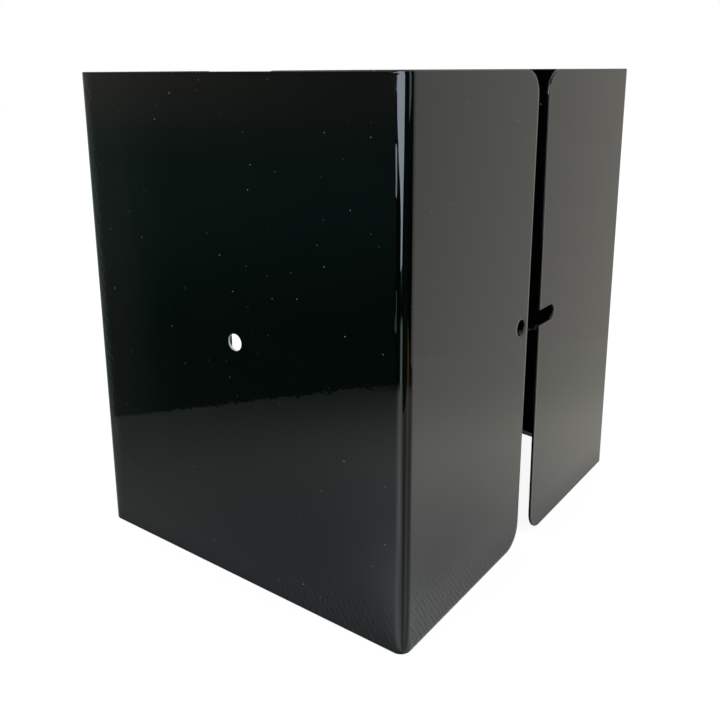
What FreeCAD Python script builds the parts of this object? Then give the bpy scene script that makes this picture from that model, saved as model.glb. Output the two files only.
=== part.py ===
import FreeCAD
import Part
import Sketcher
import math
import os

# Post guard: two alike halves of folded sheet steel that close round a square post at ground level.
# Each half has a web, a square flange with a screw hole and a flange with an open slot. The slotted
# flange is opened past square, so that it laps over the outside of the other half's holed flange.
# The halves stand as a pair with their flanges apart, the rear one turned to face the front one.
# Millimetres, +Z up, origin on the post's axis at ground level.

SIZES = (
    ("plate_height", 152.4),
    ("sheet_thickness", 0.8),
    ("web_width", 122.0),
    ("hole_flange_length", 68.2),
    ("slot_flange_length", 67.6),
    ("bend_inside_radius", 2.4),
    ("slot_flange_opening", 6.5),
    ("corner_radius", 7.5),
    ("screw_hole_diameter", 5.0),
    ("web_hole_offset", 58.7),
    ("web_hole_height", 77.0),
    ("flange_hole_margin", 4.8),
    ("flange_screw_height", 75.9),
    ("slot_depth", 11.1),
    ("seam_gap", 7.7),
    ("rear_flange_flare", 0.9),
)

START = 1
END = 2
CENTRE = 3
X_AXIS_LINE = -1
Y_AXIS_LINE = -2
ORIGIN_POINT = (-1, 1)

UP = FreeCAD.Vector(0, 0, 1)


def point(across, along):
    return FreeCAD.Vector(across, along, 0)


def make_sheet(doc):
    sheet = doc.addObject("Spreadsheet::Sheet", "sizes")
    for row, (name, value) in enumerate(SIZES, start=1):
        sheet.set("A%d" % row, name)
        sheet.set("B%d" % row, str(value))
        sheet.setAlias("B%d" % row, name)
    doc.recompute()
    return sheet


def origin_plane(body, role):
    return next(plane for plane in body.Origin.OriginFeatures if plane.Role == role)


def new_sketch(body, name, role):
    sketch = body.newObject("Sketcher::SketchObject", name)
    sketch.AttachmentSupport = [(origin_plane(body, role), "")]
    sketch.MapMode = "FlatFace"
    return sketch


def bind(sketch, name, formula, *definition):
    """Add a dimension to a sketch and tie it to the sheet."""
    index = sketch.addConstraint(Sketcher.Constraint(*definition))
    sketch.renameConstraint(index, name)
    sketch.setExpression("Constraints." + name, formula)


def relate(sketch, *definition):
    """Add a geometric relation to a sketch."""
    sketch.addConstraint(Sketcher.Constraint(*definition))


def arc(centre, radius, first, last):
    circle = Part.Circle(centre, UP, radius)
    return Part.ArcOfCircle(circle, math.radians(first), math.radians(last))


def draw_section(body, sheet):
    """The folded section seen from above, with the web's outer face along the X axis."""
    sketch = new_sketch(body, "section", "XY_Plane")
    thick = sheet.sheet_thickness
    inner = sheet.bend_inside_radius
    outer = inner + thick
    opening = math.radians(sheet.slot_flange_opening)
    along = point(-math.sin(opening), math.cos(opening))
    inward = point(math.cos(opening), math.sin(opening))
    fold = point(-sheet.web_width, 0)
    hole_bend = point(-outer, outer)
    setback = outer * (1 - math.sin(opening)) / math.cos(opening)
    slot_bend = fold + point(setback, outer)
    slot_end = fold + along * sheet.slot_flange_length
    hole_end = point(0, sheet.hole_flange_length)

    def line(start, end, construction=False):
        return sketch.addGeometry(Part.LineSegment(start, end), construction)

    web_out = line(point(slot_bend.x, 0), point(-outer, 0))
    hole_arc_out = sketch.addGeometry(arc(hole_bend, outer, 270, 360))
    hole_out = line(point(0, outer), hole_end)
    hole_tip = line(hole_end, hole_end - point(thick, 0))
    hole_in = line(hole_end - point(thick, 0), point(-thick, outer))
    hole_arc_in = sketch.addGeometry(arc(hole_bend, inner, 270, 360))
    web_in = line(point(-outer, thick), point(slot_bend.x, thick))
    arc_first = 180 + sheet.slot_flange_opening
    slot_arc_in = sketch.addGeometry(arc(slot_bend, inner, arc_first, 270))
    slot_in = line(slot_bend - inward * inner, slot_end + inward * thick)
    slot_tip = line(slot_end + inward * thick, slot_end)
    slot_out = line(slot_end, slot_bend - inward * outer)
    slot_arc_out = sketch.addGeometry(arc(slot_bend, outer, arc_first, 270))
    fold_line = line(fold, slot_end, True)

    for first, first_end, second, second_end in (
        (web_out, END, hole_arc_out, START),
        (hole_arc_out, END, hole_out, START),
        (hole_in, END, hole_arc_in, END),
        (hole_arc_in, START, web_in, START),
        (web_in, END, slot_arc_in, END),
        (slot_arc_in, START, slot_in, START),
        (slot_out, END, slot_arc_out, START),
        (slot_arc_out, END, web_out, START),
    ):
        relate(sketch, "Tangent", first, first_end, second, second_end)
    for first, second in ((hole_out, hole_tip), (hole_tip, hole_in), (slot_in, slot_tip), (slot_tip, slot_out)):
        relate(sketch, "Coincident", first, END, second, START)
    for flat in (web_out, web_in, hole_tip):
        relate(sketch, "Horizontal", flat)
    for upright in (hole_out, hole_in):
        relate(sketch, "Vertical", upright)
    relate(sketch, "PointOnObject", web_out, END, X_AXIS_LINE)
    relate(sketch, "PointOnObject", hole_out, END, Y_AXIS_LINE)
    relate(sketch, "PointOnObject", fold_line, START, X_AXIS_LINE)
    relate(sketch, "Coincident", fold_line, END, slot_out, START)
    relate(sketch, "PointOnObject", slot_out, END, fold_line)
    relate(sketch, "Parallel", slot_in, slot_out)
    relate(sketch, "Perpendicular", slot_tip, fold_line)
    relate(sketch, "Equal", slot_arc_in, hole_arc_in)
    relate(sketch, "Equal", slot_arc_out, hole_arc_out)

    bind(sketch, "web", "sizes.web_width", "DistanceX", fold_line, START, *ORIGIN_POINT, sheet.web_width)
    bind(sketch, "slot_flange", "sizes.slot_flange_length", "Distance", fold_line, sheet.slot_flange_length)
    bind(sketch, "opening", "(90 + sizes.slot_flange_opening) * 1 deg", "Angle", fold_line, math.pi / 2 + opening)
    bind(sketch, "hole_flange", "sizes.hole_flange_length", "DistanceY", *ORIGIN_POINT, hole_out, END,
         sheet.hole_flange_length)
    bind(sketch, "inside_radius", "sizes.bend_inside_radius", "Radius", hole_arc_in, inner)
    bind(sketch, "outside_radius", "sizes.bend_inside_radius + sizes.sheet_thickness", "Radius",
         hole_arc_out, outer)
    bind(sketch, "web_thickness", "sizes.sheet_thickness", "DistanceY", web_out, END, web_in, START, thick)
    bind(sketch, "hole_flange_thickness", "sizes.sheet_thickness", "DistanceX", hole_tip, END,
         hole_tip, START, thick)
    bind(sketch, "slot_flange_thickness", "sizes.sheet_thickness", "Distance", slot_tip, thick)
    return sketch


def cut_through(body, sketch, name):
    """Cut a sketch that lies on the outer face of a wall through that wall alone."""
    pocket = body.newObject("PartDesign::Pocket", name)
    pocket.Profile = sketch
    pocket.SideType = "Symmetric"
    pocket.setExpression("Length", "4 * sizes.sheet_thickness")
    return pocket


def draw_hole(sketch, across, across_formula, height, height_formula, sheet):
    radius = sheet.screw_hole_diameter / 2
    circle = sketch.addGeometry(Part.Circle(point(across, height), UP, radius))
    bind(sketch, "diameter", "sizes.screw_hole_diameter", "Diameter", circle, 2 * radius)
    if across < 0:
        bind(sketch, "across", across_formula, "DistanceX", circle, CENTRE, *ORIGIN_POINT, -across)
    else:
        bind(sketch, "across", across_formula, "DistanceX", *ORIGIN_POINT, circle, CENTRE, across)
    bind(sketch, "height", height_formula, "DistanceY", *ORIGIN_POINT, circle, CENTRE, height)


def cut_web_hole(body, sheet):
    sketch = new_sketch(body, "web_hole_outline", "XZ_Plane")
    draw_hole(sketch, -sheet.web_hole_offset, "sizes.web_hole_offset",
              sheet.web_hole_height, "sizes.web_hole_height", sheet)
    return cut_through(body, sketch, "web_hole")


def cut_flange_hole(body, sheet):
    sketch = new_sketch(body, "flange_hole_outline", "YZ_Plane")
    draw_hole(sketch, sheet.hole_flange_length - sheet.flange_hole_margin,
              "sizes.hole_flange_length - sizes.flange_hole_margin",
              sheet.flange_screw_height, "sizes.flange_screw_height", sheet)
    return cut_through(body, sketch, "flange_hole")


def cut_slot(body, sheet):
    """The open slot, drawn on the slotted flange's outer face with X running along the flange."""
    sketch = new_sketch(body, "slot_outline", "YZ_Plane")
    turn = FreeCAD.Rotation(FreeCAD.Vector(0, 1, 0), sheet.slot_flange_opening)
    sketch.AttachmentOffset = FreeCAD.Placement(FreeCAD.Vector(0, 0, -sheet.web_width), turn)
    sketch.setExpression("AttachmentOffset.Base.z", "-sizes.web_width")
    sketch.setExpression("AttachmentOffset.Rotation.Angle", "sizes.slot_flange_opening * 1 deg")
    radius = sheet.screw_hole_diameter / 2
    mouth = sheet.slot_flange_length + sheet.sheet_thickness
    centre = point(sheet.slot_flange_length - sheet.slot_depth + radius, sheet.flange_screw_height)
    low = centre - point(0, radius)
    high = centre + point(0, radius)
    low_mouth = point(mouth, low.y)
    high_mouth = point(mouth, high.y)
    round_end = sketch.addGeometry(arc(centre, radius, 90, 270))
    low_side = sketch.addGeometry(Part.LineSegment(low, low_mouth))
    mouth_side = sketch.addGeometry(Part.LineSegment(low_mouth, high_mouth))
    high_side = sketch.addGeometry(Part.LineSegment(high_mouth, high))
    relate(sketch, "Tangent", round_end, END, low_side, START)
    relate(sketch, "Tangent", high_side, END, round_end, START)
    relate(sketch, "Coincident", low_side, END, mouth_side, START)
    relate(sketch, "Coincident", mouth_side, END, high_side, START)
    relate(sketch, "Horizontal", low_side)
    relate(sketch, "Horizontal", high_side)
    relate(sketch, "Vertical", mouth_side)
    bind(sketch, "end_radius", "sizes.screw_hole_diameter / 2", "Radius", round_end, radius)
    bind(sketch, "end_across", "sizes.slot_flange_length - sizes.slot_depth + sizes.screw_hole_diameter / 2",
         "DistanceX", *ORIGIN_POINT, round_end, CENTRE, centre.x)
    bind(sketch, "end_height", "sizes.flange_screw_height", "DistanceY", *ORIGIN_POINT, round_end, CENTRE,
         centre.y)
    bind(sketch, "mouth", "sizes.slot_flange_length + sizes.sheet_thickness", "DistanceX", *ORIGIN_POINT,
         mouth_side, START, mouth)
    return cut_through(body, sketch, "slot")


def round_corners(body, base, sheet):
    """Round the four free corners of the two flanges."""
    opening = math.radians(sheet.slot_flange_opening)
    half_thick = sheet.sheet_thickness / 2
    reach = sheet.slot_flange_length
    slot_tip_x = half_thick * math.cos(opening) - reach * math.sin(opening) - sheet.web_width
    slot_tip_y = half_thick * math.sin(opening) + reach * math.cos(opening)
    names = []
    for level in (0, sheet.plate_height):
        for x, y in ((-half_thick, sheet.hole_flange_length), (slot_tip_x, slot_tip_y)):
            target = FreeCAD.Vector(x, y, level)
            gaps = [(edge.CenterOfMass - target).Length for edge in base.Shape.Edges]
            names.append("Edge%d" % (gaps.index(min(gaps)) + 1))
    fillet = body.newObject("PartDesign::Fillet", "rounded_corners")
    fillet.Base = (base, names)
    fillet.setExpression("Radius", "sizes.corner_radius")
    return fillet


def make_half(doc, name, sheet):
    body = doc.addObject("PartDesign::Body", name)
    body.Label = name
    pad = body.newObject("PartDesign::Pad", "folded_sheet")
    pad.Profile = draw_section(body, sheet)
    pad.setExpression("Length", "sizes.plate_height")
    body.Tip = pad
    cut_web_hole(body, sheet)
    cut_flange_hole(body, sheet)
    slot = cut_slot(body, sheet)
    doc.recompute()
    round_corners(body, slot, sheet)
    doc.recompute()
    return body


def place(body, x_formula, y_formula, turn, turn_formula):
    body.Placement = FreeCAD.Placement(FreeCAD.Vector(), FreeCAD.Rotation(UP, turn))
    body.setExpression("Placement.Base.x", x_formula)
    body.setExpression("Placement.Base.y", y_formula)
    body.setExpression("Placement.Rotation.Angle", turn_formula + " * 1 deg")


def place_halves(front, rear, sheet):
    """Stand the halves on the ground, facing each other across the post."""
    half_depth = ("(sizes.hole_flange_length + sizes.seam_gap"
                  " + sizes.slot_flange_length * cos(sizes.rear_flange_flare * 1 deg)) / 2")
    rear_turn = "(180 + sizes.rear_flange_flare - sizes.slot_flange_opening)"
    place(front, "sizes.web_width / 2", "-" + half_depth, 0, "0")
    place(rear,
          "sizes.web_width * (1 / 2 + cos(%s * 1 deg))" % rear_turn,
          "%s + sizes.web_width * sin(%s * 1 deg)" % (half_depth, rear_turn),
          180 + sheet.rear_flange_flare - sheet.slot_flange_opening,
          rear_turn)


def check(doc, halves):
    """Stop if a feature failed, cut nothing or left an unsound solid."""
    for item in doc.Objects:
        if "Invalid" in item.State or "Error" in item.State:
            raise RuntimeError("%s is %s" % (item.Name, item.State))
    for half in halves:
        volumes = [feature.Shape.Volume for feature in half.Group if feature.isDerivedFrom("PartDesign::Feature")]
        if any(after >= before for before, after in zip(volumes, volumes[1:])):
            raise RuntimeError("%s has a cut that removes nothing" % half.Label)
        if half.Shape.isNull() or not half.Shape.isValid() or len(half.Shape.Solids) != 1:
            raise RuntimeError("%s is not one sound solid" % half.Label)


def main():
    doc = FreeCAD.newDocument("post_guard")
    sheet = make_sheet(doc)
    front = make_half(doc, "front_half", sheet)
    rear = make_half(doc, "rear_half", sheet)
    place_halves(front, rear, sheet)
    doc.recompute()
    check(doc, (front, rear))
    os.makedirs("parts", exist_ok=True)
    for half in (front, rear):
        half.Shape.exportStep(os.path.join("parts", half.Label + ".step"))
        print(half.Label, "volume %.1f" % half.Shape.Volume, half.Shape.BoundBox)


main()
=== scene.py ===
import math

import bmesh
import bpy
from mathutils import Matrix, Vector


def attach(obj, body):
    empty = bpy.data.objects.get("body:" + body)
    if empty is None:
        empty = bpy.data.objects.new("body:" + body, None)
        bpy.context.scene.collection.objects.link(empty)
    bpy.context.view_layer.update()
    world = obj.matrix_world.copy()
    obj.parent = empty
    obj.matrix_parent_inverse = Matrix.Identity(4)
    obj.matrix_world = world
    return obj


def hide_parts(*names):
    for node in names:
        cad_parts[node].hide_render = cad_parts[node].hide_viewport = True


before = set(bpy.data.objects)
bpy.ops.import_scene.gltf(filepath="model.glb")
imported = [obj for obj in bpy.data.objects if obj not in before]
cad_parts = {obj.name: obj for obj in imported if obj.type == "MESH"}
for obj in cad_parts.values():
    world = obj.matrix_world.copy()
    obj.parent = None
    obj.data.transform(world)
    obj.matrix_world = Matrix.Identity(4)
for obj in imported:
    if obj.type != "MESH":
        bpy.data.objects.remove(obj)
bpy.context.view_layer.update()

# Two alike halves of folded sheet in gloss black powder coat, standing as a pair on a pale floor. Metres.
# A half is cut as a flat blank, drilled, given its thickness and rounded rims, and then folded.

MM = 0.001

# Sheet sizes
HEIGHT = 152.4 * MM
THICKNESS = 0.8 * MM
WEB = 122.0 * MM
HOLE_FLANGE = 68.2 * MM
SLOT_FLANGE = 67.6 * MM
OUTER_RADIUS = 3.2 * MM
SLOT_OPENING = math.radians(6.5)
CORNER_RADIUS = 7.5 * MM
SCREW_RADIUS = 2.5 * MM
WEB_HOLE_OFFSET = 58.7 * MM
WEB_HOLE_HEIGHT = 77.0 * MM
FLANGE_HOLE_MARGIN = 4.8 * MM
FLANGE_SCREW_HEIGHT = 75.9 * MM
SLOT_DEPTH = 11.1 * MM
SEAM_GAP = 7.7 * MM
REAR_FLARE = math.radians(0.9)
RIM_RADIUS = 0.22 * MM

# Lengths along the flat blank, from the holed flange's free edge to the slotted flange's free edge
SETBACK = OUTER_RADIUS * math.tan((math.pi / 2 - SLOT_OPENING) / 2)
HOLE_BEND_START = HOLE_FLANGE - OUTER_RADIUS
HOLE_BEND_END = HOLE_BEND_START + OUTER_RADIUS * math.pi / 2
SLOT_BEND_START = HOLE_BEND_END + WEB - OUTER_RADIUS - SETBACK
SLOT_BEND_END = SLOT_BEND_START + OUTER_RADIUS * (math.pi / 2 - SLOT_OPENING)
BLANK_LENGTH = SLOT_BEND_END + SLOT_FLANGE - SETBACK
WEB_HOLE_ALONG = HOLE_BEND_END - OUTER_RADIUS + WEB_HOLE_OFFSET

# How finely the blank is cut and its edges are rounded
BEND_STRIPS = 24
CORNER_STEPS = 14
SLOT_STEPS = 12
RIM_STEPS = 3
RIM_ANGLE = math.radians(60)
HOLE_SIDE_CUTS = 12
HOLE_CELL = 4.0 * MM
HOLE_BAND = (FLANGE_SCREW_HEIGHT - HOLE_CELL, WEB_HOLE_HEIGHT + HOLE_CELL)
CELL = 8 * MM
NEAR = 0.001 * MM

# Places of the two halves, and how far each flange's free edge leans out at the foot and at the top
HALF_DEPTH = (HOLE_FLANGE + SEAM_GAP + SLOT_FLANGE * math.cos(REAR_FLARE)) / 2
REAR_TURN = math.pi + REAR_FLARE - SLOT_OPENING
FRONT_PLACE = Matrix.Translation((WEB / 2, -HALF_DEPTH, 0))
REAR_CORNER = (WEB * (0.5 + math.cos(REAR_TURN)), HALF_DEPTH + WEB * math.sin(REAR_TURN), 0)
REAR_PLACE = Matrix.Translation(REAR_CORNER) @ Matrix.Rotation(REAR_TURN, 4, "Z")
STRAIGHT = (0, 0)
FRONT_HOLE_LEAN = (-0.4 * MM, 0.4 * MM)
REAR_SLOT_LEAN = (-0.5 * MM, -1.1 * MM)

# The coat's colours and gloss
COAT_COLOURS = ((0.0005, 0.0016, 0.0014), (0.0011, 0.0024, 0.0021))
GRAIN_COLOURS = ((0.004, 0.004, 0.004), (0.26, 0.27, 0.26))
# Pale grey painted on the web hole's wall and a thin rim round it, a painted highlight standing in for light
# on that wall
PAINTED_LIT_WALL_COLOUR = (0.72, 0.73, 0.73)
PAINTED_LIT_WALL_RIM = 0.05 * MM
GLOSS_ROUGHNESS = 0.02
TONE_ROUGHNESS = 0.014
DULL_ROUGHNESS = 0.4
COAT_IOR = 1.5

# The coat's orange peel, slow waves and cloudy tone: how many a metre, how detailed and how high
PEEL_SCALE = 560
PEEL_DETAIL = 1.5
PEEL_HEIGHT = 0.01 * MM
WAVE_SCALE = 45
WAVE_DETAIL = 1.0
WAVE_HEIGHT = 0.02 * MM
TONE_SCALE = 55
TONE_DETAIL = 2.0

# The peel lies calmer round the bend, from its middle outwards
BEND_MIDDLE = (HOLE_BEND_START + HOLE_BEND_END) / 2
BEND_PEEL = 0.1
CALM_RUN = (1.2 * OUTER_RADIUS, 3 * OUTER_RADIUS)

# Dust in the coat: cells a metre, the share of them left empty, the share of dark grains and radii in cells
DUST_SCALE = 115
EMPTY_SHARE = 0.4
DARK_SHARE = 0.4
DUST_RADIUS = 0.006
DUST_SPREAD = 0.011
DUST_HEIGHT = 0.02 * MM

# The bead along cut edges, the thin coat drawn off the holed flange's edges and the crease at the sharp bend
BEAD_PLACE = 0.45 * MM
BEAD_WIDTH = 0.3 * MM
BEAD_HEIGHT = 0.035 * MM
DRAWN_RUN = (0.2 * MM, 0.9 * MM)
DRAWN_DEPTH = 0.08 * MM
CREASE_WIDTH = 0.2 * MM
CREASE_DEPTH = 0.13 * MM
CREASE_WANDER = 0.2 * MM
WANDER_SCALE = 60
WANDER_DETAIL = 1.0
CREASE_HEIGHTS = (95.5 * MM, 130 * MM)
CREASE_RUN = (4.5 * MM, 7.5 * MM)

# Camera, from the lines of the photograph
CAMERA_PLACE = Vector((164.97, -230.74, 152.9)) * MM
CAMERA_YAW = math.radians(-36.899)
CAMERA_PITCH = math.radians(13.782)
CAMERA_ROLL = math.radians(0.338)
FRAME_PIXELS = 720
FOCAL_PIXELS = 826.1
CENTRE_PIXEL = (355.29, 271.31)
SENSOR = 36
CLIP_START = 10 * MM

# The studio's own axes: across to the camera's right and away from it, from the near corner of the front half
NEAR_CORNER = Vector((WEB / 2, -HALF_DEPTH, 0))
STUDIO_TURN = math.radians(37)
STUDIO = Matrix.Translation(NEAR_CORNER) @ Matrix.Rotation(STUDIO_TURN, 4, "Z")

# The paper sheet that the object stands on, across and away. Its right edge ends towards the back.
PAPER_LEFT = -187 * MM
PAPER_RIGHT = 195 * MM
PAPER_FRONT = -490 * MM
PAPER_EDGE = 1 * MM
RIGHT_EDGE_END = (-160 * MM, -90 * MM)
FLOOR_SIDE = 6.0

# Painted light on the paper, seen only in the coat's reflections, front part: lobes by the bearing in degrees
# from the near corner, as middle, width and strength, and the reaches in metres from that corner over which
# each group comes or goes
PAPER_LIGHT = 0.4
MAIN_LOBES = ((-115, 25, -0.07), (-27, 24, 1.25), (-62, 22, 0.25), (12, 14, -0.15), (44, 11, 0.38))
SHADE_LOBES = ((-75, 45, 0.72),)
SHADE_REACH = (105 * MM, 200 * MM)
FOOT_GAIN = 0.2
FOOT_REACH = (10 * MM, 70 * MM)
CORNER_GAIN = 0.2
CORNER_AWAY = (70 * MM, 74 * MM)
CLOSE_LOBES = ((-60, 18, 0.25), (-25, 18, -0.8))
CLOSE_REACH = (20 * MM, 70 * MM)
BAND_LOBES = ((-18, 7, 2.2), (46, 8, 0.7))
BAND_BEARING = (-82, -66)
BAND_REACH = (180 * MM, 200 * MM)
BAND_END = (280 * MM, 320 * MM)
FAR_LOBES = ((-22, 6, 0.6),)
FAR_REACH = (330 * MM, 450 * MM)

# Painted light on the paper, right part: strengths by the distance across, and a gain towards the front
RIGHT_LIGHT = 0.57
RIGHT_RISES = ((20 * MM, 90 * MM, 0.16),)
RIGHT_LOBES = ((112 * MM, 38 * MM, 0.17), (0, 25 * MM, 0.28))
RIGHT_GAIN = 0.12
RIGHT_GAIN_BEARING = (108, 126)
RIGHT_BEARING = (70, 112)

# Tints of the painted light on the paper, near and far, each from left to right, and a painted gold-coloured
# reflection
NEAR_TINTS = ((0.94, 1.0, 1.08), (0.99, 1.01, 1.0))
NEAR_TINT_ACROSS = (-10 * MM, 20 * MM)
FAR_TINTS = ((0.9, 1.02, 0.95), (1.0, 0.98, 0.89))
FAR_TINT_ACROSS = (-50 * MM, 90 * MM)
TINT_REACH = (20 * MM, 160 * MM)
PAINTED_GOLD_REFLECTION_TINT = (1.2, 0.6, 0.05)
PAINTED_GOLD_REFLECTION_BEARING = (45, 12)

# The paper's threads: spacing, depth, how far they wander, and where they show
WEAVE = 1.43 * MM
WEAVE_DEPTH = 0.22
LOOSE_SCALE = 260
LOOSE_DETAIL = 2.0
LOOSE_TURN = 5
PATCH_SCALE = 420
PATCH_DETAIL = 1.0
PATCH_RANGE = (0.3, 0.7)
WEAVE_OUT = (4 * MM, 30 * MM)
WEAVE_LEFT = (-65 * MM, -30 * MM)
WEAVE_RIGHT = (20 * MM, 50 * MM)

# Painted shade in the floor's reflection: the dark line where the object meets the floor, and the soft shade
# just outside it
PAINTED_CONTACT_SHADE_RUN = (-1.0 * MM, -0.6 * MM)
SOFT_SHADE = 0.15
SOFT_RUN = (0, 8 * MM)

# The floor's own colour to the camera and to everything else, and the light that keeps it white
FLOOR_SEEN = (0.2, 0.2, 0.2)
FLOOR_PALE = (0.8, 0.8, 0.79)
FLOOR_WHITE = 0.89
WORLD_LIGHT = 0.78
WORLD_WHITE = 1.0

# The dark card on the left, standing for the shaded room in reflections, glows with painted light: strengths
# by height and by distance away, as start, end and rise
CARD_LIGHT = 0.03
CARD_UP = ((30 * MM, 110 * MM, 0.065),)
CARD_AWAY = ((40 * MM, 78 * MM, 0.07), (75 * MM, 200 * MM, 0.12), (71.8 * MM, 74.6 * MM, 0.32))
CARD_TOP = ((115 * MM, 155 * MM, 0.12),)
CARD_TOP_AWAY = ((-50 * MM, 70 * MM, 0.75),)
CARD_TOP_NEAR = 0.25
CARD_COLOURS = ((0.45, 1.05, 0.85), (1.0, 0.98, 0.88))
CARD_COLOUR_UP = (100 * MM, 150 * MM)
CARD_COLOUR_AWAY = (45 * MM, 70 * MM)
CARD_COLOUR_SHARE = 0.6

# The white board on the right
BOARD_LIGHT = 0.8
BOARD_FALL = 0.1
BOARD_AWAY = (50 * MM, 200 * MM)
BOARD_COLOURS = ((1.0, 1.0, 0.94), (1.0, 0.97, 0.88))

# Upright panels: their ends, across and away, and their heights
ROOM_HEIGHT = 0.9
SHADE_HEIGHT = 0.3
CARD_ENDS = ((PAPER_LEFT, -0.062), (PAPER_LEFT, 0.5))
ROOM_CORNERS = ((-1.2, 0.3), (-1.2, -1.0), (1.0, -1.0), (0.6, -0.146))
SHADE_ENDS = ((-0.01, -0.158), (0.09, -0.158))
BOARD_ENDS = ((0.22, -0.054), (0.22, 1.0))
DARK_COLOUR = (0.4, 1.0, 0.9)
DARK_LIGHT = 0.035

# The bright window in front, as X and Z in millimetres on its own plane, and the one on the right, as Y and Z
WINDOW_DEPTH = -492 * MM
WINDOW_OUTLINE = ((-226, 138), (-213, 124), (-196, 115), (-152, 106), (-75, 89), (40, 70), (96, 52),
                  (113, 38), (113, 2), (205, 2), (217, 12), (245, 47), (290, 80), (318, 120), (323, 141),
                  (323, 700), (-226, 700))
WINDOW_COLOUR = (0.88, 0.97, 1.12)
WINDOW_LIGHT = 5.6
SIDE_DEPTH = 481 * MM
SIDE_OUTLINE = ((-225, 112), (-150, 122), (-90, 135), (-90, 400), (-225, 400))
SIDE_COLOUR = (0.88, 1.0, 1.1)
SIDE_LIGHT = 1.3

# Lamps: name, place, side and power
LAMPS = (("window_lamp", (-0.35, -1.1, 1.0), 0.8, 3.0),
         ("room_lamp", (0.9, 0.5, 1.4), 1.0, 3.0))


class Field:
    """A value that varies over a surface. Arithmetic on it adds Math nodes."""

    def __init__(self, paint, socket):
        self.paint = paint
        self.socket = socket

    def math(self, operation, *others):
        """The operation on this value and the others."""
        node = self.paint.node("ShaderNodeMath", {"operation": operation}, dict(enumerate((self, *others))))
        return Field(self.paint, node.outputs[0])

    def reflected(self, operation, first):
        """The operation on a number and this value."""
        node = self.paint.node("ShaderNodeMath", {"operation": operation}, {0: first, 1: self})
        return Field(self.paint, node.outputs[0])

    def __add__(self, other):
        return self.math("ADD", other)

    def __radd__(self, other):
        return self.reflected("ADD", other)

    def __sub__(self, other):
        return self.math("SUBTRACT", other)

    def __rsub__(self, other):
        return self.reflected("SUBTRACT", other)

    def __mul__(self, other):
        return self.math("MULTIPLY", other)

    def __rmul__(self, other):
        return self.reflected("MULTIPLY", other)

    def __truediv__(self, other):
        return self.math("DIVIDE", other)

    def __gt__(self, other):
        return self.math("GREATER_THAN", other)

    def __lt__(self, other):
        return self.math("LESS_THAN", other)

    def __pow__(self, other):
        return self.math("POWER", other)

    def __abs__(self):
        return self.math("ABSOLUTE")

    def higher(self, other):
        return self.math("MAXIMUM", other)

    def lower(self, other):
        return self.math("MINIMUM", other)

    def sine(self):
        return self.math("SINE")

    def bell(self, middle, width):
        """1 at the middle, falling away smoothly on both sides."""
        off = (self - middle) / width
        return (off * off * -1).math("EXPONENT")

    def ramp(self, start, end):
        """0 up to the start, 1 from the end on, smooth between."""
        node = self.paint.node("ShaderNodeMapRange", {"interpolation_type": "SMOOTHSTEP"},
                               {"Value": self, "From Min": start, "From Max": end})
        return Field(self.paint, node.outputs["Result"])

    def bells(self, lobes):
        """The sum of several bells, each with its own strength."""
        return sum(self.bell(middle, width) * strength for middle, width, strength in lobes)

    def ramps(self, rises):
        """The sum of several ramps, each with its own rise."""
        return sum(self.ramp(start, end) * rise for start, end, rise in rises)


class Paint:
    """The node tree of a material or a world, built from nothing."""

    def __init__(self, block):
        block.use_nodes = True
        self.tree = block.node_tree
        self.tree.nodes.clear()

    def node(self, kind, settings=None, inputs=None):
        """Add a node: its settings first, then a value or a link for each socket."""
        node = self.tree.nodes.new(kind)
        for name, value in (settings or {}).items():
            setattr(node, name, value)
        for name, value in (inputs or {}).items():
            if isinstance(value, Field):
                value = value.socket
            if isinstance(value, bpy.types.NodeSocket):
                self.tree.links.new(value, node.inputs[name])
            else:
                node.inputs[name].default_value = value
        return node

    def field(self, kind, output, settings=None, inputs=None):
        return Field(self, self.node(kind, settings, inputs).outputs[output])

    def noise(self, place, scale, detail):
        """Soft random patches over a flat place."""
        return self.field("ShaderNodeTexNoise", "Fac", {"noise_dimensions": "2D"},
                          {"Vector": place, "Scale": scale, "Detail": detail})

    def axes(self, vector):
        node = self.node("ShaderNodeSeparateXYZ", None, {"Vector": vector})
        return [Field(self, node.outputs[axis]) for axis in "XYZ"]

    def object_axes(self):
        return self.axes(self.node("ShaderNodeTexCoord").outputs["Object"])

    def mix_colour(self, factor, first, second):
        node = self.node("ShaderNodeMix", {"data_type": "RGBA"}, {"Factor": factor})
        for socket, value in zip([s for s in node.inputs if s.type == "RGBA"], (first, second)):
            if isinstance(value, bpy.types.NodeSocket):
                self.tree.links.new(value, socket)
            else:
                socket.default_value = (*value, 1)
        return next(s for s in node.outputs if s.type == "RGBA")

    def light(self, colour, strength):
        return self.node("ShaderNodeEmission", None, {"Color": colour, "Strength": strength}).outputs[0]

    def surface(self, shader, kind="ShaderNodeOutputMaterial"):
        self.node(kind, None, {"Surface": shader})


def new_paint(name):
    material = bpy.data.materials.new(name)
    return material, Paint(material)


def add_object(name, bm, material):
    """Make the mesh an object of the scene."""
    mesh = bpy.data.meshes.new(name)
    bm.to_mesh(mesh)
    bm.free()
    mesh.materials.append(material)
    item = bpy.data.objects.new(name, mesh)
    bpy.context.scene.collection.objects.link(item)
    return item


def hole_distance(along, up, hole_along, hole_up):
    """Distance on the blank from a place to a screw hole's rim."""
    off_along = along - hole_along
    off_up = up - hole_up
    return (off_along * off_along + off_up * off_up) ** 0.5 - SCREW_RADIUS


def box_distance(off_along, off_up, half_along, half_up, radius):
    """Distance from a place to a rounded box, negative inside it."""
    side = abs(off_along) - (half_along - radius)
    rise = abs(off_up) - (half_up - radius)
    far_side = side.higher(0)
    far_rise = rise.higher(0)
    return (far_side * far_side + far_rise * far_rise) ** 0.5 + side.higher(rise).lower(0) - radius


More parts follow.
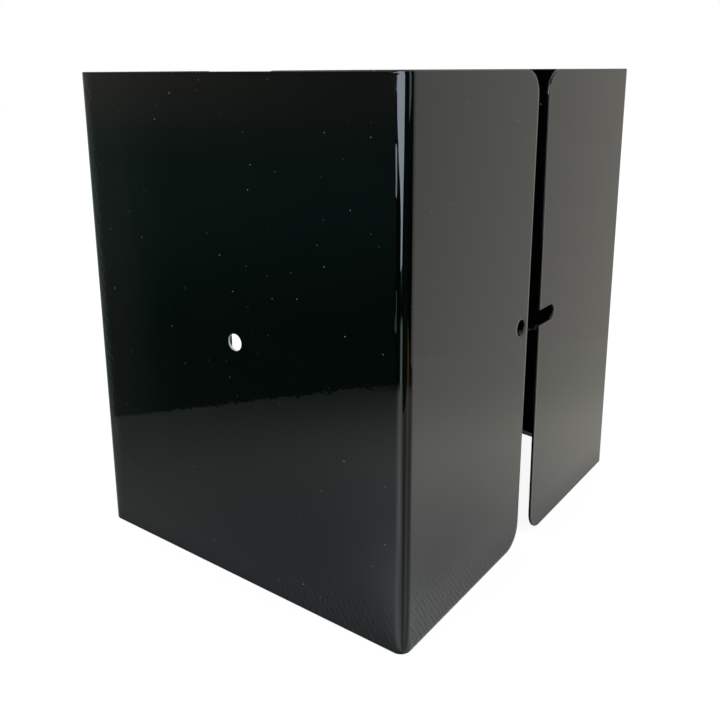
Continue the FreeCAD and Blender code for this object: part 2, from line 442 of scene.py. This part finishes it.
def edge_distance(along, up):
    """Distance on the blank from a place to the nearest cut edge."""
    sheet = box_distance(along - BLANK_LENGTH / 2, up - HEIGHT / 2,
                         BLANK_LENGTH / 2, HEIGHT / 2, CORNER_RADIUS)
    slot = box_distance(along - BLANK_LENGTH, up - FLANGE_SCREW_HEIGHT,
                        SLOT_DEPTH, SCREW_RADIUS, SCREW_RADIUS)
    flange_hole = hole_distance(along, up, FLANGE_HOLE_MARGIN, FLANGE_SCREW_HEIGHT)
    web_hole = hole_distance(along, up, WEB_HOLE_ALONG, WEB_HOLE_HEIGHT)
    return slot.lower(-1 * sheet).lower(flange_hole).lower(web_hole)


def edge_height(along, up):
    """How the coat stands up in a bead along the cut edges, and is drawn thin on the holed flange."""
    from_edge = edge_distance(along, up)
    holed = 1 - along.ramp(HOLE_BEND_START, HOLE_BEND_END)
    bead = from_edge.bell(BEAD_PLACE, BEAD_WIDTH) * (1 - holed)
    drawn = (1 - from_edge.ramp(*DRAWN_RUN)) * holed
    return bead * BEAD_HEIGHT - drawn * DRAWN_DEPTH


def crease_depth(paint, along, up):
    """Two short runs of a wandering crease in the coat, where the sharp bend meets the web."""
    wander = paint.field("ShaderNodeTexNoise", "Fac", {"noise_dimensions": "1D"},
                         {"W": up, "Scale": WANDER_SCALE, "Detail": WANDER_DETAIL}) - 0.5
    runs = sum(1 - abs(up - middle).ramp(*CREASE_RUN) for middle in CREASE_HEIGHTS)
    return (along + wander * CREASE_WANDER).bell(HOLE_BEND_END, CREASE_WIDTH) * runs * CREASE_DEPTH


def powder_coat():
    """Gloss black powder coat: orange peel, slow waves, dust, beaded edges and a crease at the bend."""
    material, paint = new_paint("gloss_black_powder_coat")
    blank_place = paint.node("ShaderNodeTexCoord").outputs["UV"]
    along, up, _ = paint.axes(blank_place)
    peel = paint.noise(blank_place, PEEL_SCALE, PEEL_DETAIL)
    waves = paint.noise(blank_place, WAVE_SCALE, WAVE_DETAIL)
    tone = paint.noise(blank_place, TONE_SCALE, TONE_DETAIL)
    cells = paint.node("ShaderNodeTexVoronoi", {"voronoi_dimensions": "2D", "feature": "F1"},
                       {"Vector": blank_place, "Scale": DUST_SCALE, "Randomness": 1.0})
    chance = paint.axes(cells.outputs["Color"])
    from_grain = Field(paint, cells.outputs["Distance"])
    dust = (from_grain < DUST_RADIUS + DUST_SPREAD * chance[1]) * (chance[0] > EMPTY_SHARE)
    # Painted highlight: the web hole's wall and a thin rim round it are painted pale grey and dull, standing
    # in for light on that wall
    painted_lit_wall = hole_distance(along, up, WEB_HOLE_ALONG, WEB_HOLE_HEIGHT) < PAINTED_LIT_WALL_RIM
    coat_colour = paint.mix_colour(tone, *COAT_COLOURS)
    grain_colour = paint.mix_colour(chance[2] > DARK_SHARE, *GRAIN_COLOURS)
    dusty_colour = paint.mix_colour(dust, coat_colour, grain_colour)
    rough_peel = BEND_PEEL + (1 - BEND_PEEL) * abs(along - BEND_MIDDLE).ramp(*CALM_RUN)
    height = (peel * PEEL_HEIGHT * rough_peel + waves * WAVE_HEIGHT + dust * DUST_HEIGHT
              + edge_height(along, up) - crease_depth(paint, along, up))
    bump = paint.node("ShaderNodeBump", None, {"Height": height, "Distance": 1.0, "Strength": 1.0})
    coat = paint.node("ShaderNodeBsdfPrincipled", None, {
        "Base Color": paint.mix_colour(painted_lit_wall, dusty_colour, PAINTED_LIT_WALL_COLOUR),
        "Roughness": GLOSS_ROUGHNESS + TONE_ROUGHNESS * tone + DULL_ROUGHNESS * dust + DULL_ROUGHNESS * painted_lit_wall,
        "Normal": bump.outputs["Normal"],
        "IOR": COAT_IOR,
    })
    paint.surface(coat.outputs["BSDF"])
    return material


def blank_outline(bm):
    """One flat face: the sheet with its four rounded corners and its open slot."""
    slot_low = FLANGE_SCREW_HEIGHT - SCREW_RADIUS
    slot_high = FLANGE_SCREW_HEIGHT + SCREW_RADIUS
    slot_end = BLANK_LENGTH - SLOT_DEPTH
    corners = [bm.verts.new((along, up, 0)) for along, up in (
        (0, 0), (BLANK_LENGTH, 0), (BLANK_LENGTH, slot_low), (slot_end, slot_low),
        (slot_end, slot_high), (BLANK_LENGTH, slot_high), (BLANK_LENGTH, HEIGHT), (0, HEIGHT))]
    bm.faces.new(corners)
    sheet_corners = [corners[0], corners[1], corners[6], corners[7]]
    slot_corners = [corners[3], corners[4]]
    for verts, radius, steps in ((sheet_corners, CORNER_RADIUS, CORNER_STEPS),
                                 (slot_corners, SCREW_RADIUS - NEAR, SLOT_STEPS)):
        bmesh.ops.bevel(bm, geom=verts, offset=radius, offset_type="OFFSET", segments=steps,
                        profile=0.5, affect="VERTICES", material=-1)


def places(first, last, count):
    """Evenly spaced places from one line to another, with both ends."""
    return [first + (last - first) * i / count for i in range(count + 1)]


def cut_grid(bm):
    """Cut the blank along its bends and round its holes, so that it can be drilled and folded."""
    along = {FLANGE_HOLE_MARGIN - HOLE_CELL}
    for start, end in ((HOLE_BEND_START, HOLE_BEND_END), (SLOT_BEND_START, SLOT_BEND_END)):
        along.update(places(start, end, BEND_STRIPS))
    for start, end in ((FLANGE_HOLE_MARGIN + HOLE_CELL, HOLE_BEND_START),
                       (HOLE_BEND_END, WEB_HOLE_ALONG - HOLE_CELL),
                       (WEB_HOLE_ALONG + HOLE_CELL, SLOT_BEND_START),
                       (SLOT_BEND_END, BLANK_LENGTH - SLOT_DEPTH - HOLE_CELL / 2)):
        along.update(places(start, end, round((end - start) / CELL)))
    up = set()
    for start, end in ((0, HOLE_BAND[0]), (HOLE_BAND[1], HEIGHT)):
        up.update(places(start, end, round((end - start) / CELL)))
    up -= {0, HEIGHT}
    for normal, lines in (((1, 0, 0), along), ((0, 1, 0), up)):
        for line in sorted(lines):
            bmesh.ops.bisect_plane(bm, geom=bm.verts[:] + bm.edges[:] + bm.faces[:], dist=NEAR / 10,
                                   plane_co=Vector(normal) * line, plane_no=normal)


def drill(bm, along, up):
    """Clear the cell round a screw hole and bridge from its four sides to the hole's circle."""
    cell = [face for face in bm.faces
            if abs(face.calc_center_median().x - along) < HOLE_CELL
            and HOLE_BAND[0] < face.calc_center_median().y < HOLE_BAND[1]]
    sides = {edge for face in cell for edge in face.edges}
    bmesh.ops.delete(bm, geom=cell, context="FACES_ONLY")
    cuts = bmesh.ops.subdivide_edges(bm, edges=list(sides), cuts=HOLE_SIDE_CUTS - 1)
    rim = {item for item in cuts["geom_inner"] if isinstance(item, bmesh.types.BMEdge)}
    rim |= {edge for item in cuts["geom_inner"] if isinstance(item, bmesh.types.BMVert)
            for edge in item.link_edges if edge.is_boundary}
    middle = Matrix.Translation((along, up, 0)) @ Matrix.Rotation(math.pi / 4, 4, "Z")
    circle = bmesh.ops.create_circle(bm, segments=4 * HOLE_SIDE_CUTS, radius=SCREW_RADIUS, matrix=middle)
    rim |= {edge for vert in circle["verts"] for edge in vert.link_edges}
    bmesh.ops.bridge_loops(bm, edges=list(rim))


def thicken(bm):
    """Give the flat blank its thickness, towards +Z, and round every rim."""
    bmesh.ops.recalc_face_normals(bm, faces=bm.faces)
    if sum(face.normal.z for face in bm.faces) > 0:
        bmesh.ops.reverse_faces(bm, faces=bm.faces)
    bmesh.ops.solidify(bm, geom=bm.faces[:], thickness=THICKNESS)
    lowest = min(vert.co.z for vert in bm.verts)
    bmesh.ops.translate(bm, verts=bm.verts, vec=(0, 0, -lowest))
    rims = [edge for edge in bm.edges if edge.is_manifold and edge.calc_face_angle() > RIM_ANGLE]
    bmesh.ops.bevel(bm, geom=rims, offset=RIM_RADIUS, offset_type="OFFSET", segments=RIM_STEPS,
                    profile=0.5, affect="EDGES", material=-1)


def section(along):
    """The folded sheet's outer face at a place along the blank, and the direction into the sheet."""
    if along <= HOLE_BEND_START:
        return Vector((0, HOLE_FLANGE - along)), Vector((-1, 0))
    if along <= HOLE_BEND_END:
        turn = (along - HOLE_BEND_START) / OUTER_RADIUS
        inward = Vector((-math.cos(turn), math.sin(turn)))
        return Vector((-OUTER_RADIUS, OUTER_RADIUS)) - inward * OUTER_RADIUS, inward
    if along <= SLOT_BEND_START:
        return Vector((HOLE_BEND_END - OUTER_RADIUS - along, 0)), Vector((0, 1))
    centre = Vector((SETBACK - WEB, OUTER_RADIUS))
    turn = min(along - SLOT_BEND_START, SLOT_BEND_END - SLOT_BEND_START) / OUTER_RADIUS
    inward = Vector((math.sin(turn), math.cos(turn)))
    run = max(0, along - SLOT_BEND_END)
    return centre - inward * OUTER_RADIUS + Vector((-inward.y, inward.x)) * run, inward


def lean(along, up, hole_lean, slot_lean):
    """How far a place on a flange stands out from its true plane."""
    for run, length, (foot, top) in ((HOLE_BEND_START - along, HOLE_BEND_START, hole_lean),
                                     (along - SLOT_BEND_END, BLANK_LENGTH - SLOT_BEND_END, slot_lean)):
        if run > 0:
            return run / length * (foot + (top - foot) * up / HEIGHT)
    return 0


def fold(bm, hole_lean, slot_lean):
    """Keep each place on the blank as the coat's own map, then fold the sheet round its bends."""
    coat_map = bm.loops.layers.uv.new("blank")
    for face in bm.faces:
        for loop in face.loops:
            loop[coat_map].uv = (loop.vert.co.x, loop.vert.co.y)
    for vert in bm.verts:
        along, up, depth = vert.co
        outer, inward = section(along)
        flat = outer + inward * (depth - lean(along, up, hole_lean, slot_lean))
        vert.co = (flat.x, flat.y, up)


def make_half(name, place, hole_lean, slot_lean, coat):
    """Cut, drill, thicken and fold one half, and stand it in its place."""
    bm = bmesh.new()
    blank_outline(bm)
    cut_grid(bm)
    drill(bm, FLANGE_HOLE_MARGIN, FLANGE_SCREW_HEIGHT)
    drill(bm, WEB_HOLE_ALONG, WEB_HOLE_HEIGHT)
    thicken(bm)
    fold(bm, hole_lean, slot_lean)
    bmesh.ops.transform(bm, matrix=place, verts=bm.verts)
    bmesh.ops.recalc_face_normals(bm, faces=bm.faces)
    for face in bm.faces:
        face.smooth = True
    half = add_object(name, bm, coat)
    even = half.modifiers.new("even_shading", "WEIGHTED_NORMAL")
    even.keep_sharp = True
    return half


def add_halves():
    coat = powder_coat()
    for node, place, hole_lean, slot_lean in (("front_half", FRONT_PLACE, FRONT_HOLE_LEAN, STRAIGHT),
                                              ("rear_half", REAR_PLACE, STRAIGHT, REAR_SLOT_LEAN)):
        half = make_half(node + "_sheet", place, hole_lean, slot_lean, coat)
        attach(half, "root")
        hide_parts(node)


def painted_paper_light(across, away, bearing, reach):
    """Painted light and shade on the paper as the coat reflects it: lobes of light in front, an even side on
    the right.
    """
    front = PAPER_LIGHT + bearing.bells(MAIN_LOBES)
    front = front * (1 - bearing.bells(SHADE_LOBES) * reach.ramp(*SHADE_REACH))
    front = front * (1 + FOOT_GAIN * (1 - reach.ramp(*FOOT_REACH))) + CORNER_GAIN * away.ramp(*CORNER_AWAY)
    front = front + (1 - reach.ramp(*CLOSE_REACH)) * bearing.bells(CLOSE_LOBES)
    band = reach.ramp(*BAND_REACH) * bearing.ramp(*BAND_BEARING)
    front = front * (1 - band) + band * bearing.bells(BAND_LOBES)
    front = front * (1 - reach.ramp(*BAND_END)) + bearing.bells(FAR_LOBES) * reach.ramp(*FAR_REACH)
    right = (RIGHT_LIGHT + across.ramps(RIGHT_RISES) + across.bells(RIGHT_LOBES)
             + RIGHT_GAIN * (1 - bearing.ramp(*RIGHT_GAIN_BEARING)))
    turned = bearing.ramp(*RIGHT_BEARING)
    return front * (1 - turned) + right * turned


def paper_weave(paint, place, across, away, outside):
    """Brightness of the paper's threads near the object: patchy, wandering lines across."""
    loose = paint.noise(place, LOOSE_SCALE, LOOSE_DETAIL) * LOOSE_TURN
    patches = paint.noise(place, PATCH_SCALE, PATCH_DETAIL).ramp(*PATCH_RANGE)
    threads = (away * (2 * math.pi / WEAVE) + loose).sine()
    shown = (1 - outside.ramp(*WEAVE_OUT)) * across.ramp(*WEAVE_LEFT) * (1 - across.ramp(*WEAVE_RIGHT))
    return 1 + WEAVE_DEPTH * threads * patches * shown


def floor_material():
    """Pale floor: white to the camera with a soft shadow; to glossy rays it glows with painted light and
    shade, a painted reflection of a lit sheet of paper.
    """
    material, paint = new_paint("pale_floor")
    floor_place = paint.node("ShaderNodeTexCoord").outputs["Object"]
    across, away, _ = paint.axes(floor_place)
    east, north, _ = paint.axes(paint.node("ShaderNodeNewGeometry").outputs["Position"])
    ray = paint.node("ShaderNodeLightPath")
    to_camera = Field(paint, ray.outputs["Is Camera Ray"])
    to_gloss = Field(paint, ray.outputs["Is Glossy Ray"])
    through = Field(paint, ray.outputs["Is Transmission Ray"])
    bearing = across.math("ARCTAN2", -1 * away) * math.degrees(1)
    reach = (across * across + away * away) ** 0.5
    outside = (abs(north) - HALF_DEPTH).higher(abs(east) - WEB / 2)
    right_edge = across.ramp(PAPER_RIGHT, PAPER_RIGHT + PAPER_EDGE) * (1 - away.ramp(*RIGHT_EDGE_END))
    on_paper = (across.ramp(PAPER_LEFT - PAPER_EDGE, PAPER_LEFT + PAPER_EDGE)
                * away.ramp(PAPER_FRONT - PAPER_EDGE, PAPER_FRONT + PAPER_EDGE) * (1 - right_edge))
    weave = paper_weave(paint, floor_place, across, away, outside)
    # Painted contact shadow under the object's foot and painted soft shade just outside it, as the coat
    # reflects the floor
    painted_contact_shade = outside.ramp(*PAINTED_CONTACT_SHADE_RUN) * (1 - SOFT_SHADE * (1 - outside.ramp(*SOFT_RUN)))
    # Painted reflection: how strongly the floor glows to glossy rays, painted light and shade on a sheet of
    # paper
    paper = on_paper * painted_paper_light(across, away, bearing, reach) * weave * painted_contact_shade
    # Tints of the painted light on the paper, and a painted gold-coloured reflection at one bearing
    near_tint = paint.mix_colour(across.ramp(*NEAR_TINT_ACROSS), *NEAR_TINTS)
    far_tint = paint.mix_colour(across.ramp(*FAR_TINT_ACROSS), *FAR_TINTS)
    tint = paint.mix_colour(reach.ramp(*TINT_REACH), near_tint, far_tint)
    painted_gold_reflection = bearing.bell(*PAINTED_GOLD_REFLECTION_BEARING) * reach.ramp(*BAND_REACH)
    floor_colour = paint.mix_colour(to_camera, FLOOR_PALE, FLOOR_SEEN)
    lit = paint.node("ShaderNodeBsdfDiffuse", None, {"Color": floor_colour})
    seen = paint.light((1, 1, 1, 1), FLOOR_WHITE * (to_camera + through))
    # The floor's painted reflection, a glow seen only by glossy rays
    reflected = paint.light(paint.mix_colour(painted_gold_reflection, tint, PAINTED_GOLD_REFLECTION_TINT), paper)
    both = paint.node("ShaderNodeAddShader", None, {0: lit.outputs[0], 1: seen})
    pick = paint.node("ShaderNodeMixShader", None, {"Fac": to_gloss, 1: both.outputs[0], 2: reflected})
    paint.surface(pick.outputs[0])
    return material


def add_floor():
    bm = bmesh.new()
    bmesh.ops.create_grid(bm, x_segments=1, y_segments=1, size=FLOOR_SIDE / 2)
    floor = add_object("floor", bm, floor_material())
    floor.matrix_world = STUDIO


def plain_light(name, colour, strength):
    material, paint = new_paint(name)
    paint.surface(paint.light((*colour, 1), strength))
    return material


def card_material():
    """The dark card on the left: near black, with painted light a little stronger towards its top and its far
    end.
    """
    material, paint = new_paint("dark_card")
    _, away, up = paint.object_axes()
    top = up.ramps(CARD_TOP) * (CARD_TOP_NEAR + away.ramps(CARD_TOP_AWAY))
    strength = CARD_LIGHT + up.ramps(CARD_UP) + away.ramps(CARD_AWAY) + top
    pale = up.ramp(*CARD_COLOUR_UP).higher(CARD_COLOUR_SHARE * away.ramp(*CARD_COLOUR_AWAY))
    paint.surface(paint.light(paint.mix_colour(pale, *CARD_COLOURS), strength))
    return material


def board_material():
    """The white board on the right, with painted light a little dimmer and warmer towards its far end."""
    material, paint = new_paint("white_board")
    _, away, _ = paint.object_axes()
    far = away.ramp(*BOARD_AWAY)
    paint.surface(paint.light(paint.mix_colour(far, *BOARD_COLOURS), BOARD_LIGHT - BOARD_FALL * far))
    return material


def add_panel(name, corners, material):
    """A flat panel of the studio, seen only in reflections."""
    bm = bmesh.new()
    bm.faces.new([bm.verts.new(corner) for corner in corners])
    panel = add_object(name, bm, material)
    panel.visible_camera = False
    panel.visible_diffuse = False
    panel.visible_transmission = False
    panel.visible_shadow = False
    return panel


def add_panels():
    """The dark room on the camera's side, the bright windows in it and a white board on the right."""
    dark = plain_light("dark_room", DARK_COLOUR, DARK_LIGHT)
    for name, (left, right), height, material in (
            ("left_card", CARD_ENDS, ROOM_HEIGHT, card_material()),
            ("room_left", ROOM_CORNERS[0:2], ROOM_HEIGHT, dark),
            ("room_front", ROOM_CORNERS[1:3], ROOM_HEIGHT, dark),
            ("room_right", ROOM_CORNERS[2:4], ROOM_HEIGHT, dark),
            ("camera_shade", SHADE_ENDS, SHADE_HEIGHT, dark),
            ("white_board", BOARD_ENDS, ROOM_HEIGHT, board_material())):
        corners = ((*left, 0), (*right, 0), (*right, height), (*left, height))
        add_panel(name, corners, material).matrix_world = STUDIO
    window = [(x * MM, WINDOW_DEPTH, z * MM) for x, z in WINDOW_OUTLINE]
    add_panel("window", window, plain_light("window_light", WINDOW_COLOUR, WINDOW_LIGHT))
    side = [(SIDE_DEPTH, y * MM, z * MM) for y, z in SIDE_OUTLINE]
    add_panel("side_glint", side, plain_light("side_light", SIDE_COLOUR, SIDE_LIGHT))


def add_world():
    """Even soft light, white to the camera."""
    world = bpy.data.worlds.new("studio")
    bpy.context.scene.world = world
    paint = Paint(world)
    ray = paint.node("ShaderNodeLightPath")
    seen = Field(paint, ray.outputs["Is Camera Ray"]) + Field(paint, ray.outputs["Is Transmission Ray"])
    strength = WORLD_LIGHT + (WORLD_WHITE - WORLD_LIGHT) * seen
    back = paint.node("ShaderNodeBackground", None, {"Color": (1, 1, 1, 1), "Strength": strength})
    paint.surface(back.outputs[0], "ShaderNodeOutputWorld")


def add_lamps():
    """Square soft lamps aimed at the object's middle, which throw its shadow on the floor."""
    middle = Vector((0, 0, HEIGHT / 2))
    for name, place, side, power in LAMPS:
        lamp = bpy.data.lights.new(name, "AREA")
        lamp.shape = "SQUARE"
        lamp.size = side
        lamp.energy = power
        holder = bpy.data.objects.new(name, lamp)
        holder.location = place
        holder.rotation_mode = "QUATERNION"
        holder.rotation_quaternion = (middle - Vector(place)).to_track_quat("-Z", "Y")
        holder.visible_glossy = False
        holder.visible_camera = False
        bpy.context.scene.collection.objects.link(holder)


def add_camera():
    """The photograph's camera: level axes from the yaw, tilted down by the pitch, then rolled."""
    level = Vector((math.sin(CAMERA_YAW), math.cos(CAMERA_YAW), 0))
    right = Vector((math.cos(CAMERA_YAW), -math.sin(CAMERA_YAW), 0))
    forward = level * math.cos(CAMERA_PITCH) - Vector((0, 0, math.sin(CAMERA_PITCH)))
    down = forward.cross(right)
    image_right = right * math.cos(CAMERA_ROLL) + down * math.sin(CAMERA_ROLL)
    image_down = down * math.cos(CAMERA_ROLL) - right * math.sin(CAMERA_ROLL)
    data = bpy.data.cameras.new("camera")
    data.sensor_width = SENSOR
    data.lens = FOCAL_PIXELS / FRAME_PIXELS * SENSOR
    data.shift_x = 0.5 - CENTRE_PIXEL[0] / FRAME_PIXELS
    data.shift_y = CENTRE_PIXEL[1] / FRAME_PIXELS - 0.5
    data.clip_start = CLIP_START
    camera = bpy.data.objects.new("camera", data)
    turn = Matrix((image_right, -image_down, -forward)).transposed().to_4x4()
    camera.matrix_world = Matrix.Translation(CAMERA_PLACE) @ turn
    bpy.context.scene.collection.objects.link(camera)
    bpy.context.scene.camera = camera


add_halves()
add_floor()
add_panels()
add_world()
add_lamps()
add_camera()
bpy.context.scene.view_settings.view_transform = "Standard"
